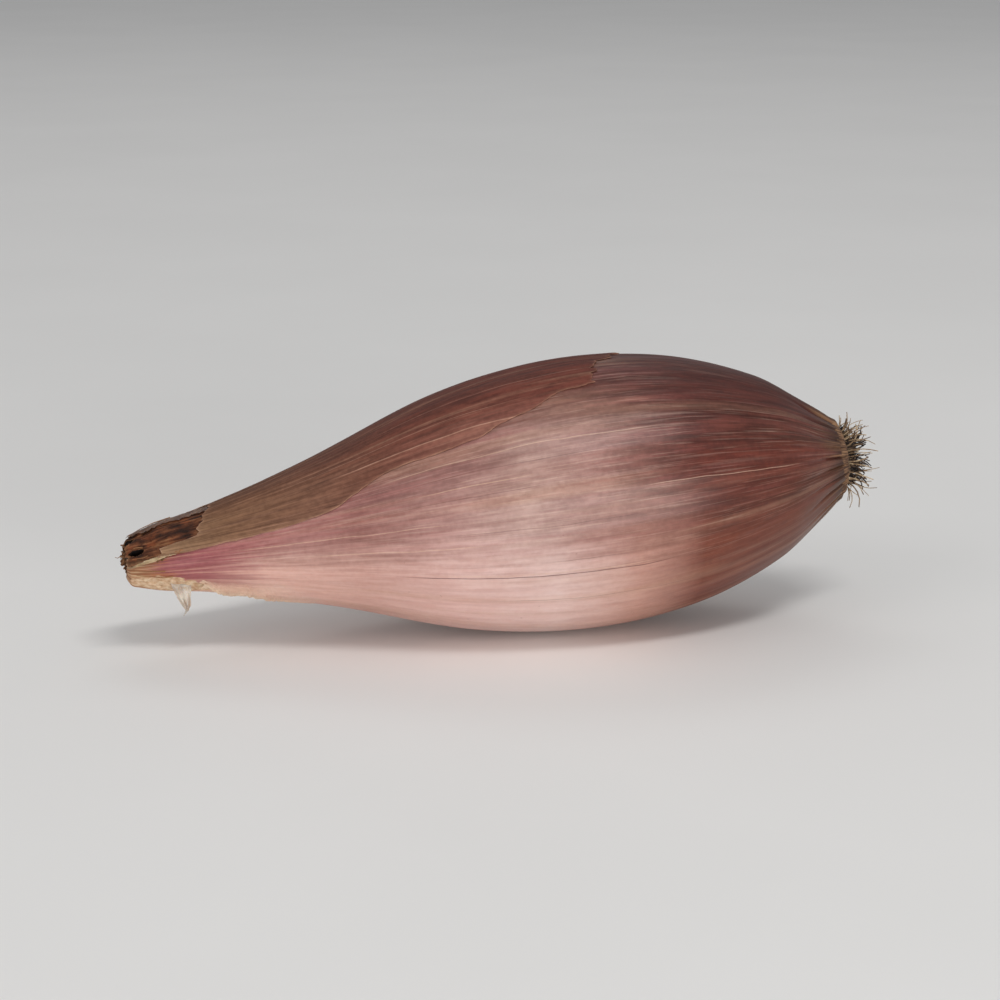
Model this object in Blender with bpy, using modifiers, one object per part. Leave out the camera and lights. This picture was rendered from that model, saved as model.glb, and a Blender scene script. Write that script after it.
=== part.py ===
"""A long copper-skinned shallot lying on its side, in metres, +Z up.

The bulb is one solid. What is separate on the real one is separate here: the dry outer skin that
still clings to its upper side, the dried core of the leaves in its cut neck, a shred of leaf that
hangs from the cut, and the corky root plate with its trimmed roots.

Everything is shaped lying straight, with the neck's tip at the origin and the root end on +X, and
a carrier then tips it and sets it down. Places on the bulb are a share of its length, 0 at the neck
and 1 at the root plate, and an angle about its axis: 0 on the side that shows best, 90 degrees on
top of that.
"""

import bisect
import math
import random

import bmesh
import bpy
from mathutils import Matrix, Vector, noise

# Driving dimensions
BULB_LENGTH = 0.0915
BULB_RADIUS = 0.0169
AXIS_RISE = math.radians(5.5)
AXIS_BOW = 0.0005
BEST_SIDE_ELEVATION = math.radians(15)
CLEARANCE = 0.0003
SHEET_THICKNESS = 0.0006
SKIN_LIFT = 0.00047

# The outline of the bulb: share of the length, share of the radius
OUTLINE = (
    (0.00, 0.175),
    (0.11, 0.298),
    (0.27, 0.546),
    (0.45, 0.876),
    (0.61, 1.000),
    (0.76, 0.934),
    (0.885, 0.700),
    (0.96, 0.420),
    (1.00, 0.250),
)
END_ROUNDING = 0.0012

# Relief of the skins: broad lobes from the leaves inside, and the veins over them
LOBES = ((3, 0.012, 0.4), (5, 0.010, 2.1), (8, 0.006, 4.0))
VEINS = 18
VEIN_HEIGHT = 0.00013
ROOT_WRINKLES = 12
ROOT_WRINKLE_HEIGHT = 0.00030

# Where the bulb rests, as a share of its length, and how high its axis is there
REST_SHARE = 0.605
REST_AXIS_HEIGHT = 0.01629

# The slanting cut across the underside of the neck
CUT_BELOW_AXIS = 0.0019
CUT_SLOPE = math.radians(17)
CUT_FACING = math.radians(26)

# The dried core in the neck
CORE_RADIUS = 0.0014
CORE_FLARE = 0.00225
CORE_DEPTH = 0.0042
CORE_STANDS_OUT = 0.0014
CORE_OFFSET = 0.0005
CORE_HOLLOW_RADIUS = 0.0006
CORE_HOLLOW_DEPTH = 0.0020

# The outer skin that is left on the upper side: along is the share of the length, angles in degrees
SKIN_FRONT_EDGE = (
    (0.00, -3), (0.10, 1), (0.20, 9), (0.27, 15), (0.34, 29), (0.47, 33),
    (0.52, 40), (0.56, 42), (0.60, 48), (0.64, 50), (0.80, 58),
)
SKIN_BACK_EDGE = ((0.00, 176), (0.20, 170), (0.45, 160), (0.60, 150), (0.80, 138))
SKIN_NECK_EDGE = ((0.0, 0.055), (0.25, 0.095), (0.5, 0.115), (0.75, 0.09), (1.0, 0.075))
SKIN_ROOT_EDGE = ((0.0, 0.62), (0.3, 0.69), (0.55, 0.74), (0.8, 0.69), (1.0, 0.58))
TEAR = 0.011

# The shred of leaf that hangs from the cut
SHRED_SHARE = 0.080
SHRED_WIDTH = 0.0024
SHRED_LENGTH = 0.0040
SHRED_SUNK = 0.0011

# The root plate and its trimmed roots
PLATE_RADIUS = 0.0035
PLATE_SUNK = 0.0010
PLATE_DOME = 0.0012
PLATE_INSET = 0.0004
ROOTS = 40
ROOT_RADIUS = 0.00036
ROOT_LENGTHS = (0.0018, 0.0042)
ROOT_SUNK = 0.0009
ROOT_SPREAD = math.radians(48)
GOLDEN_ANGLE = math.radians(137.5)
SEED = 11

AXIS = Vector((1, 0, 0))
FRONT = Vector((0, -math.cos(BEST_SIDE_ELEVATION), math.sin(BEST_SIDE_ELEVATION)))
UP = Vector((0, math.sin(BEST_SIDE_ELEVATION), math.cos(BEST_SIDE_ELEVATION)))


def smooth_through(points, x):
    """The height at x of a smooth curve through the points, which are sorted by x."""
    xs = [p[0] for p in points]
    i = min(max(bisect.bisect_right(xs, x) - 1, 0), len(points) - 2)

    def slope(k):
        low, high = points[max(k - 1, 0)], points[min(k + 1, len(points) - 1)]
        return (high[1] - low[1]) / (high[0] - low[0])

    (x0, y0), (x1, y1) = points[i], points[i + 1]
    span = x1 - x0
    t = min(max((x - x0) / span, 0), 1)
    return (
        y0 * (1 + 2 * t) * (1 - t) ** 2
        + slope(i) * span * t * (1 - t) ** 2
        + y1 * t * t * (3 - 2 * t)
        + slope(i + 1) * span * t * t * (t - 1)
    )


def straight_through(points, x):
    """The height at x of straight runs between the points, which are sorted by x."""
    xs = [p[0] for p in points]
    i = min(max(bisect.bisect_right(xs, x) - 1, 0), len(points) - 2)
    (x0, y0), (x1, y1) = points[i], points[i + 1]
    return y0 + (y1 - y0) * min(max((x - x0) / (x1 - x0), 0), 1)


def axis_point(share):
    """The point of the bulb's axis at this share of its length. The axis bows up a little."""
    return Vector((share * BULB_LENGTH, 0, AXIS_BOW * math.sin(math.pi * share)))


def end_rounding(share):
    """1 along the bulb, falling to 0 at its two ends as an ellipse does."""
    to_end = min(share, 1 - share) * BULB_LENGTH
    if to_end >= END_ROUNDING:
        return 1.0
    return math.sqrt(max(1 - (1 - to_end / END_ROUNDING) ** 2, 0))


def skin_radius(share, angle, veined=True):
    """The bulb's radius there, with its lobes and, unless they are left out, its veins and wrinkles."""
    body = math.sin(math.pi * min(max(share, 0), 1))
    lobes = sum(size * math.cos(n * angle + phase) for n, size, phase in LOBES)
    radius = BULB_RADIUS * smooth_through(OUTLINE, share) * (1 + lobes * body)
    veins = VEIN_HEIGHT * math.cos(VEINS * angle + 2 * math.sin(3 * angle)) * math.sqrt(body)
    near_root = math.exp(-(((share - 0.95) / 0.045) ** 2))
    wrinkles = ROOT_WRINKLE_HEIGHT * near_root * math.cos(ROOT_WRINKLES * angle + 5 * share)
    return (radius + (veins + wrinkles if veined else 0)) * end_rounding(share)


def on_bulb(share, angle, lift=0.0, veined=True):
    """The point of the bulb's skin at this place, lift metres out from it."""
    out = FRONT * math.cos(angle) + UP * math.sin(angle)
    return axis_point(share) + out * (skin_radius(share, angle, veined) + lift)


def colour_of(name, colour, roughness):
    """A plain finish for one part."""
    material = bpy.data.materials.new(name)
    material.use_nodes = True
    shader = material.node_tree.nodes["Principled BSDF"]
    shader.inputs["Base Color"].default_value = (*colour, 1)
    shader.inputs["Roughness"].default_value = roughness
    shader.inputs["Metallic"].default_value = 0
    return material


def settle(obj, collection, parent):
    """Puts a new object in one collection only, under the empty that carries the shallot."""
    for other in obj.users_collection:
        other.objects.unlink(obj)
    collection.objects.link(obj)
    obj.parent = parent
    return obj


def round_solid(name, segments, rings, place):
    """A ball shaped by place(share, angle), which gives a point for each share from pole to pole."""
    bpy.ops.mesh.primitive_uv_sphere_add(segments=segments, ring_count=rings, radius=1)
    obj = bpy.context.active_object
    obj.name = obj.data.name = name
    for vertex in obj.data.vertices:
        x, y, z = vertex.co
        vertex.co = place(min(max((1 - z) / 2, 0), 1), math.atan2(y, x))
    obj.data.update()
    return obj


def sheet(name, columns, rows, place, thickness):
    """A thin sheet shaped by place(u, v), made solid outwards."""
    bpy.ops.mesh.primitive_grid_add(x_subdivisions=columns, y_subdivisions=rows, size=1)
    obj = bpy.context.active_object
    obj.name = obj.data.name = name
    for vertex in obj.data.vertices:
        vertex.co = place(vertex.co.x + 0.5, vertex.co.y + 0.5)
    solid = obj.modifiers.new("thickness", "SOLIDIFY")
    solid.thickness = thickness
    solid.offset = 1
    return obj


def cut_away(obj, cutter):
    """Cuts the cutter's shape from obj. The cutter is only a guide."""
    cutter.hide_render = True
    cutter.display_type = "WIRE"
    cut = obj.modifiers.new("cut by " + cutter.name, "BOOLEAN")
    cut.operation = "DIFFERENCE"
    cut.solver = "EXACT"
    cut.object = cutter


def axes_matrix(origin, x_axis, y_axis, z_axis):
    """The placing of an object with these three directions as its own axes."""
    turn = Matrix((x_axis, y_axis, z_axis)).transposed().to_4x4()
    return Matrix.Translation(origin) @ turn


def block(name, size, placing):
    """A box of that size whose top face's centre is at the placing's origin."""
    bpy.ops.mesh.primitive_cube_add(size=1)
    obj = bpy.context.active_object
    obj.name = obj.data.name = name
    obj.data.transform(Matrix.Diagonal((*size, 1)) @ Matrix.Translation((0, 0, -0.5)))
    obj.matrix_basis = placing
    return obj


def plug(name, radius, depth, placing):
    """A round cutter that reaches the depth on both sides of the placing's origin."""
    bpy.ops.mesh.primitive_cylinder_add(vertices=24, radius=radius, depth=2 * depth)
    obj = bpy.context.active_object
    obj.name = obj.data.name = name
    obj.matrix_basis = placing
    return obj


def cut_placing():
    """The plane of the slanting cut: its z axis points into the neck, and its x axis runs along it."""
    below = FRONT * math.sin(CUT_FACING) - UP * math.cos(CUT_FACING)
    along = AXIS * math.cos(CUT_SLOPE) + below * math.sin(CUT_SLOPE)
    inward = AXIS * math.sin(CUT_SLOPE) - below * math.cos(CUT_SLOPE)
    return axes_matrix(below * CUT_BELOW_AXIS, along, inward.cross(along), inward)


def neck_cutter():
    """The block that takes away the underside of the neck."""
    return block("neck_cutter", (0.036, 0.03, 0.01), cut_placing())


def core_placing():
    """The core's own axes: z runs out of the neck."""
    return axes_matrix(UP * CORE_OFFSET, UP, -FRONT, -AXIS)


def neck_core():
    """The dried brown inner leaves in the cut neck: a ragged plug that flares where it stands out."""

    def place(share, angle):
        ragged = noise.noise(Vector((math.cos(angle), math.sin(angle), 0.3)) * 2.3)
        outer = CORE_STANDS_OUT * (1 + 0.45 * ragged)
        height = outer - (CORE_DEPTH + outer) * share
        flare = min(max(height / CORE_STANDS_OUT, 0), 1)
        radius = CORE_RADIUS + (CORE_FLARE - CORE_RADIUS) * flare * (1 + 0.5 * ragged)
        side = radius * math.sqrt(max(1 - (2 * share - 1) ** 10, 0))
        return Vector((side * math.cos(angle), side * math.sin(angle), height))

    obj = round_solid("neck_core", 20, 14, place)
    obj.matrix_basis = core_placing()
    return obj


def core_hollow():
    """The small hollow that the leaves left in the core."""
    depth = 0.006
    bpy.ops.mesh.primitive_cone_add(
        vertices=12, radius1=CORE_HOLLOW_RADIUS / 2, radius2=CORE_HOLLOW_RADIUS * 1.6, depth=depth
    )
    obj = bpy.context.active_object
    obj.name = obj.data.name = "core_hollow"
    floor = CORE_STANDS_OUT - CORE_HOLLOW_DEPTH
    obj.matrix_basis = core_placing() @ Matrix.Translation((0, 0, floor + depth / 2))
    return obj


def outer_skin():
    """The papery skin on the upper side, torn along its veins at the front and across at its ends."""

    def place(u, v):
        tear = TEAR * noise.noise(Vector((v * 9, u * 2, 5.0)))
        first = straight_through(SKIN_NECK_EDGE, v)
        last = straight_through(SKIN_ROOT_EDGE, v)
        share = first + (last - first) * u + tear * (1 if 0 < u < 1 else 2)
        front = straight_through(SKIN_FRONT_EDGE, share)
        back = straight_through(SKIN_BACK_EDGE, share)
        angle = math.radians(front + (back - front) * v)
        return on_bulb(share, angle, SKIN_LIFT, veined=False)

    return sheet("outer_skin", 44, 18, place, SHEET_THICKNESS)


def shred_placing():
    """The shred's own axes: z runs out of the cut, and x across the shred."""
    cut = cut_placing()
    along, inward = cut.col[0].to_3d(), cut.col[2].to_3d()
    base = cut @ Vector((SHRED_SHARE * BULB_LENGTH, 0, 0))
    return axes_matrix(base, along, along.cross(inward), -inward)


def shred_slot():
    """The slot in the cut face that the shred's foot sits in."""
    depth = SHRED_SUNK + CLEARANCE
    size = (SHRED_WIDTH + 2 * CLEARANCE, SHEET_THICKNESS + 2 * CLEARANCE, 2 * depth)
    return block("shred_slot", size, shred_placing() @ Matrix.Translation((0, 0, depth)))


def leaf_shred():
    """A thin shred of leaf that hangs from the cut, narrowing and curling to its tip."""

    def place(u, v):
        height = -SHRED_SUNK + (SHRED_SUNK + SHRED_LENGTH) * u
        out = max(height, 0) / SHRED_LENGTH
        width = SHRED_WIDTH * (1 - 0.6 * out)
        drift = 0.0007 * out * out
        curl = 0.0008 * math.sin(2.6 * out) * out
        fold = 0.16 * width * out * (1 - abs(2 * v - 1))
        return Vector(((v - 0.5) * width + drift, curl + fold - SHEET_THICKNESS / 2, height))

    obj = sheet("leaf_shred", 12, 4, place, SHEET_THICKNESS)
    obj.matrix_basis = shred_placing()
    return obj


def plate_placing():
    """The root plate's own axes: z runs out of the bulb's root end."""
    return axes_matrix(axis_point(1) - AXIS * PLATE_INSET, UP, FRONT, AXIS)


def root(number, draw):
    """One trimmed root in the plate's own axes, sunk into the plate and bent on its way out."""
    reach = math.sqrt((number + 0.5) / ROOTS)
    around = number * GOLDEN_ANGLE
    length = draw.uniform(*ROOT_LENGTHS)
    lean = ROOT_SPREAD * reach * draw.uniform(0.75, 1.1)
    bend = draw.uniform(-0.35, 0.35)
    out = Vector((math.cos(around), math.sin(around), 0))
    side = Vector((-math.sin(around), math.cos(around), 0))
    foot = out * reach * PLATE_RADIUS * 0.78
    foot.z = PLATE_DOME * 0.55 * (1 - reach**2)
    bpy.ops.mesh.primitive_cylinder_add(vertices=5, radius=1, depth=1)
    obj = bpy.context.active_object
    obj.name = obj.data.name = f"root_{number}"
    shape = bmesh.new()
    shape.from_mesh(obj.data)
    lengthwise = [e for e in shape.edges if abs(e.verts[0].co.z - e.verts[1].co.z) > 0.5]
    bmesh.ops.subdivide_edges(shape, edges=lengthwise, cuts=2)
    for vertex in shape.verts:
        share = vertex.co.z + 0.5
        height = (length + ROOT_SUNK) * share - ROOT_SUNK
        lean_here = lean * (0.55 + 0.45 * share)
        centre = foot + out * math.sin(lean_here) * height + side * bend * length * share**2
        centre.z += height * math.cos(lean_here)
        radius = ROOT_RADIUS * (1 - 0.45 * share)
        vertex.co = centre + Vector((vertex.co.x, vertex.co.y, 0)) * radius
    shape.to_mesh(obj.data)
    shape.free()
    return obj


def root_plate():
    """The corky plate with its roots joined to it in one body."""

    def place(share, angle):
        height = PLATE_DOME - (PLATE_DOME + PLATE_SUNK) * share
        side = PLATE_RADIUS * math.sqrt(max(1 - (2 * share - 1) ** 6, 0)) * (1 + 0.03 * math.sin(7 * angle))
        return Vector((side * math.cos(angle), side * math.sin(angle), height))

    plate = round_solid("root_plate", 28, 10, place)
    roots = bpy.data.collections.new("roots to join")
    bpy.context.scene.collection.children.link(roots)
    draw = random.Random(SEED)
    for number in range(ROOTS):
        settle(root(number, draw), roots, None)
    join = plate.modifiers.new("join roots", "BOOLEAN")
    join.operation = "UNION"
    join.operand_type = "COLLECTION"
    join.solver = "MANIFOLD"
    join.collection = roots
    bpy.context.view_layer.objects.active = plate
    bpy.ops.object.modifier_apply(modifier=join.name)
    for obj in list(roots.objects):
        bpy.data.objects.remove(obj)
    bpy.data.collections.remove(roots)
    plate.matrix_basis = plate_placing()
    return plate


def bulb():
    """The bulb with its attached skins: one solid from the cut neck to the root end."""
    return round_solid("bulb", 72, 44, on_bulb)


def centre_on_origin(carrier, parts):
    """Moves the carrier so that the origin is under the middle of the whole shallot's box."""
    bpy.context.view_layer.update()
    graph = bpy.context.evaluated_depsgraph_get()
    spots = []
    for part in parts:
        evaluated = part.evaluated_get(graph)
        spots += [evaluated.matrix_world @ vertex.co for vertex in evaluated.data.vertices]
    for i in range(2):
        side = [spot[i] for spot in spots]
        carrier.location[i] -= (min(side) + max(side)) / 2


def main():
    for obj in list(bpy.data.objects):
        bpy.data.objects.remove(obj)
    shallot = bpy.data.collections.new("shallot")
    cutters = bpy.data.collections.new("cutters")
    for collection in (shallot, cutters):
        bpy.context.scene.collection.children.link(collection)
    carrier = bpy.data.objects.new("shallot_carrier", None)
    shallot.objects.link(carrier)
    carrier.rotation_euler = (0, -AXIS_RISE, 0)
    carrier.location.z = REST_AXIS_HEIGHT - REST_SHARE * BULB_LENGTH * math.sin(AXIS_RISE)

    finishes = {
        "bulb": colour_of("pink_copper_skin", (0.56, 0.30, 0.23), 0.42),
        "outer_skin": colour_of("dry_outer_skin", (0.33, 0.15, 0.09), 0.5),
        "neck_core": colour_of("dried_leaf", (0.20, 0.09, 0.04), 0.8),
        "leaf_shred": colour_of("white_leaf", (0.70, 0.62, 0.52), 0.6),
        "root_plate": colour_of("corky_roots", (0.34, 0.24, 0.14), 0.9),
    }
    body = bulb()
    core = neck_core()
    parts = [body, core, outer_skin(), leaf_shred(), root_plate()]
    for part in parts:
        settle(part, shallot, carrier)
        part.data.materials.clear()
        part.data.materials.append(finishes[part.name])
        part.data.shade_smooth()
        part.data.set_sharp_from_angle(angle=math.radians(40))

    carried_cutters = [
        neck_cutter(),
        plug("core_pocket", CORE_RADIUS + CLEARANCE, CORE_DEPTH + CLEARANCE, core_placing()),
        shred_slot(),
        plug("plate_pocket", PLATE_RADIUS + CLEARANCE, PLATE_SUNK + CLEARANCE, plate_placing()),
    ]
    for cutter in carried_cutters:
        settle(cutter, cutters, carrier)
        cut_away(body, cutter)
    below_surface = block("rest_cutter", (0.20, 0.10, 0.02), Matrix.Identity(4))
    settle(below_surface, cutters, None)
    cut_away(body, below_surface)
    hollow = settle(core_hollow(), cutters, carrier)
    cut_away(core, hollow)
    centre_on_origin(carrier, parts)


main()
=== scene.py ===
"""A long shallot lying on a pale table: a pink and copper bulb with a dry skin over its upper side.

The bulb lies with its cut neck to the left and its roots to the right. A place on it is a share of
its length, 0 at the neck and 1 at the root end, and an angle about its axis in degrees: 0 on the
side towards the camera and 90 on top of that. Colours are everyday numbers, 0 to 255.
"""

import itertools
import math
import random
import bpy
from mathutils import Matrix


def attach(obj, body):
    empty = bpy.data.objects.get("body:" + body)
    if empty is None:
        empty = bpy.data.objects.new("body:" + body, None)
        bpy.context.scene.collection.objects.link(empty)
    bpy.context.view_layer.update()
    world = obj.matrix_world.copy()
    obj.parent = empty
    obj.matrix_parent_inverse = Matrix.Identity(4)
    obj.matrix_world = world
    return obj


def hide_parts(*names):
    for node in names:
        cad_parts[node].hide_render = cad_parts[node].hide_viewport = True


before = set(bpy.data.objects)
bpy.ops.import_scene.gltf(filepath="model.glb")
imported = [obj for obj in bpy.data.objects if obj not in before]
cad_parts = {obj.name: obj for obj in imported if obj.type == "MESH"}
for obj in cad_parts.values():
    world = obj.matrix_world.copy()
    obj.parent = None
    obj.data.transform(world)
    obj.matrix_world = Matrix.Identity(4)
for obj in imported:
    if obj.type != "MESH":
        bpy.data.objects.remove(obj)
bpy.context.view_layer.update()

import types

import bpy
import numpy as np
from mathutils import Vector

MM = 0.001

# The bulb's form: the solid's, but slimmer at the tip of the neck and fuller just behind it
LENGTH = 0.0915
RADIUS = 0.0169
BOW = 0.0005
OUTLINE = (
    (0.00, 0.144),
    (0.05, 0.232),
    (0.11, 0.298),
    (0.27, 0.546),
    (0.45, 0.876),
    (0.61, 1.000),
    (0.76, 0.934),
    (0.885, 0.700),
    (0.96, 0.420),
    (1.00, 0.250),
)
END_ROUNDING = 0.0010
LOBES = ((3, 0.012, 0.4), (5, 0.010, 2.1), (8, 0.006, 4.0))

# How it lies: the tip of its neck, and its directions
TIP = Vector((-0.0466184, 0.0000652, 0.0109842))
RISE = math.radians(5.5)
BEST_SIDE = math.radians(15)
AXIS = Vector((math.cos(RISE), 0, math.sin(RISE)))
ABOVE = Vector((-math.sin(RISE), 0, math.cos(RISE)))
FRONT = Vector((0, -math.cos(BEST_SIDE), 0)) + ABOVE * math.sin(BEST_SIDE)
UP = Vector((0, math.sin(BEST_SIDE), 0)) + ABOVE * math.cos(BEST_SIDE)

# The slanting cut across the underside of the neck: a point on it, its directions and its reach
CUT_BELOW_AXIS = 0.00225
CUT_SLOPE = math.radians(14)
CUT_FACING = math.radians(28)
CUT_BELOW = FRONT * math.sin(CUT_FACING) - UP * math.cos(CUT_FACING)
CUT_START = TIP + CUT_BELOW * CUT_BELOW_AXIS
CUT_INWARD = AXIS * math.sin(CUT_SLOPE) - CUT_BELOW * math.cos(CUT_SLOPE)
CUT_LAST_SHARE = 0.2

# The rolled leaves in the neck's tip stand this many mm above the bulb's axis
LEAVES_ABOVE_AXIS = 0.5

# Hollows in the dried neck: mm along, degrees, half length in mm, half width in mm, depth in mm
HOLLOWS = (
    (1.75, 22, 1.25, 0.42, 1.9),
    (0.60, 58, 1.30, 0.85, 2.3),
    (3.4, 66, 1.0, 0.20, 0.5),
    (2.6, 118, 0.9, 0.4, 0.7),
    (4.6, 150, 1.2, 0.3, 0.6),
)

# Edges of the papery skin: share along against angle, and share across against share along
SKIN_FRONT = (
    (0.00, -3), (0.05, 3), (0.09, 5), (0.20, 10), (0.27, 15), (0.34, 29), (0.47, 33),
    (0.50, 38), (0.54, 41), (0.59, 48), (0.64, 50), (0.80, 58),
)
SKIN_BACK = ((0.00, 176), (0.20, 170), (0.45, 160), (0.60, 150), (0.80, 138))
SKIN_NECK_END = (
    (0.00, 0.050), (0.08, 0.054), (0.10, 0.075), (0.12, 0.106), (0.33, 0.113),
    (0.42, 0.125), (0.60, 0.090), (0.80, 0.105), (1.00, 0.075),
)
SKIN_ROOT_END = ((0.0, 0.63), (0.3, 0.69), (0.55, 0.735), (0.8, 0.69), (1.0, 0.58))

# Small sheets: how near the bulb's ends they may come, the least radius that their torn sides
# are worked out for, and the mm of edge that one row of teeth is stretched over
SHEET_SHARES = (0.004, 0.9965)
SHEET_LEAST_RADIUS = 0.0029
TOOTH_ROW = 12

# The root plate, with its radius and its bulge in mm
PLATE_MIDDLE = TIP + AXIS * (LENGTH - 0.0004)
PLATE_RADIUS = 3.3
PLATE_BULGE = 0.8
GOLDEN_ANGLE = math.radians(137.5)


# Shapes


def hermite(points, x):
    """Heights at x of a smooth curve through the points."""
    xs = np.array([p[0] for p in points], float)
    ys = np.array([p[1] for p in points], float)
    i = np.clip(np.searchsorted(xs, x, side="right") - 1, 0, len(xs) - 2)
    low = np.maximum(np.arange(len(xs)) - 1, 0)
    high = np.minimum(np.arange(len(xs)) + 1, len(xs) - 1)
    slope = (ys[high] - ys[low]) / (xs[high] - xs[low])
    span = xs[i + 1] - xs[i]
    t = np.clip((x - xs[i]) / span, 0, 1)
    return (
        ys[i] * (1 + 2 * t) * (1 - t) ** 2
        + slope[i] * span * t * (1 - t) ** 2
        + ys[i + 1] * t * t * (3 - 2 * t)
        + slope[i + 1] * span * t * t * (t - 1)
    )


def runs(points, x):
    """Heights at x of straight runs between the points."""
    return np.interp(x, [p[0] for p in points], [p[1] for p in points])


def ease(x, low, high):
    """0 below low, 1 above high, and smooth between."""
    t = np.clip((x - low) / (high - low), 0, 1)
    return t * t * (3 - 2 * t)


def grain(x, y, z, seed=0.0):
    """Smooth noise from -1 to 1 at each place."""
    x, y, z = np.broadcast_arrays(x, y, z)
    spot = np.stack((x + seed, y - seed, z + 0.37 * seed), axis=-1)
    cell = np.floor(spot)
    t = spot - cell
    t = t * t * (3 - 2 * t)
    total = np.zeros(x.shape)
    for corner in itertools.product((0, 1), repeat=3):
        height = np.sin((cell + corner) @ np.array((12.9898, 78.233, 37.719))) * 43758.5453
        height = 2 * (height - np.floor(height)) - 1
        total += height * np.prod(np.where(corner, t, 1 - t), axis=-1)
    return total


def relief(share, angle):
    """Height of the skin's veins and creases above the plain form, in metres, from sizes in mm."""
    a = np.radians(angle)
    body = np.sin(np.pi * np.clip(share, 0, 1))
    wander = 2 * np.sin(3 * a) + 0.6 * np.sin(2 * np.pi * share)
    veins = 0.045 * np.cos(18 * a + wander)
    veins += 0.014 * np.cos(43 * a + 1.7 * np.sin(2 * a) + 1.1 * np.sin(7 * share + a))
    veins += 0.005 * np.cos(71 * a + 2.3 * np.sin(5 * a) - 1.3 * np.sin(9 * share))
    near_root = np.exp(-(((share - 0.965) / 0.035) ** 2))
    creases = 0.16 * np.cos(12 * a + 5 * share) - 0.42 * np.abs(np.cos(11.5 * a + 2 * np.sin(2 * a))) ** 14
    near_neck = np.exp(-((share / 0.06) ** 2))
    dried = 0.10 * np.cos(15 * a + 1.5 * np.sin(4 * a)) + 0.05 * np.cos(31 * a + 2.0 * np.sin(3 * a))
    return (veins * np.sqrt(body) + creases * near_root + dried * near_neck) * MM


def on_bulb(share, angle, lift=0.0):
    """Points of the bulb's skin, as rows of x, y and z, with lift metres added outwards."""
    share, angle, lift = np.broadcast_arrays(share, angle, lift)
    a = np.radians(angle)
    body = np.sin(np.pi * np.clip(share, 0, 1))
    lobes = sum(size * np.cos(n * a + phase) for n, size, phase in LOBES)
    to_end = np.minimum(share, 1 - share) * LENGTH
    rounding = np.sqrt(np.clip(1 - np.clip(1 - to_end / END_ROUNDING, 0, 1) ** 2, 0, 1))
    radius = (RADIUS * hermite(OUTLINE, share) * (1 + lobes * body) + relief(share, angle)) * rounding
    radius = radius + lift
    middle = (
        np.array(TIP)
        + share[..., None] * LENGTH * np.array(AXIS)
        + (BOW * np.sin(np.pi * share))[..., None] * np.array(ABOVE)
    )
    out = np.cos(a)[..., None] * np.array(FRONT) + np.sin(a)[..., None] * np.array(UP)
    return middle + radius[..., None] * out


def in_neck(along, up, front):
    """A place about the neck, in millimetres along the axis, up and to the front."""
    return TIP + AXIS * along * MM + UP * up * MM + FRONT * front * MM


def laid_out(origin, *moves):
    """Points reached from the origin by moves, each a row of millimetres and its direction."""
    return np.array(origin) + sum((far * MM)[:, None] * np.array(direction) for far, direction in moves)


def pits(share, angle):
    """The hollows at each place: how far inside it is, 0 to 1, how deep in mm, and how strong the painted
    shade about it is.
    """
    inside, depth, dark = np.zeros(share.shape), np.zeros(share.shape), np.zeros(share.shape)
    along = share * LENGTH / MM
    wobble = 0.22 * grain(along * 2.2, angle / 9, 0, 5.0)
    neck_radius = 3.2
    for middle, turn, half_length, half_width, deep in HOLLOWS:
        aside = np.radians((angle - turn + 180) % 360 - 180) * neck_radius
        reach = np.hypot((along - middle) / half_length, aside / half_width) + wobble
        pit = ease(reach, 1.0, 0.55)
        inside = np.maximum(inside, pit)
        depth = np.maximum(depth, pit * deep)
        # The painted shade reaches a little past the rim of each pit
        dark = np.maximum(dark, ease(reach, 1.5, 1.2))
    return inside, depth, dark


def teeth(v, seed, size):
    """How far a torn edge runs in and out across the sheet, in the unit that size has."""
    broad = grain(v * 6, seed, 9) * 0.6
    rough = np.abs(grain(v * 17, seed, 0)) * 0.9 - 0.35
    fine = grain(v * 61, seed, 4) * 0.35
    return size * (broad + rough + fine)


# Meshes


def bare():
    """Leaves nothing selected."""
    for obj in bpy.context.selected_objects:
        obj.select_set(False)


def ready(obj, name, material, node=None):
    """Names a finished piece, gives it its material and puts it on the frame."""
    obj.name = obj.data.name = name
    obj.data.materials.clear()
    obj.data.materials.append(material)
    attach(obj, "root")
    if node:
        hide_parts(node)


def put(obj, points):
    """Moves the vertices of obj to these points."""
    obj.data.vertices.foreach_set("co", np.ascontiguousarray(points, dtype=np.float32).ravel())
    obj.data.update()


def mark(obj, name, values):
    """Keeps a number for each vertex, which a material can read."""
    layer = obj.data.attributes.new(name, "FLOAT", "POINT")
    layer.data.foreach_set("value", np.asarray(values, dtype=np.float32).ravel())


def own(obj):
    """The vertices of obj as rows of x, y and z."""
    flat = np.empty(len(obj.data.vertices) * 3, np.float32)
    obj.data.vertices.foreach_get("co", flat)
    return flat.reshape(-1, 3).astype(float)


def smooth(obj, degrees=60):
    """Shades obj smooth, but for edges sharper than this."""
    obj.data.shade_smooth()
    obj.data.set_sharp_from_angle(angle=math.radians(degrees))
    return obj


def apply_all(obj):
    """Makes the modifiers part of the mesh."""
    bpy.context.view_layer.objects.active = obj
    for modifier in list(obj.modifiers):
        bpy.ops.object.modifier_apply(modifier=modifier.name)


def flat_grid(columns, rows):
    """A new grid and the places of its vertices, from 0 to 1 across and along."""
    bare()
    bpy.ops.mesh.primitive_grid_add(x_subdivisions=columns, y_subdivisions=rows, size=1)
    obj = bpy.context.active_object
    spots = own(obj)
    return obj, spots[:, 0] + 0.5, spots[:, 1] + 0.5


def thicken(obj, thickness, offset=0):
    """Gives a sheet its thickness, in mm, on both sides or, at offset 1, outwards only."""
    solid = obj.modifiers.new("thickness", "SOLIDIFY")
    solid.thickness = thickness * MM
    solid.offset = offset
    apply_all(obj)


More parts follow.
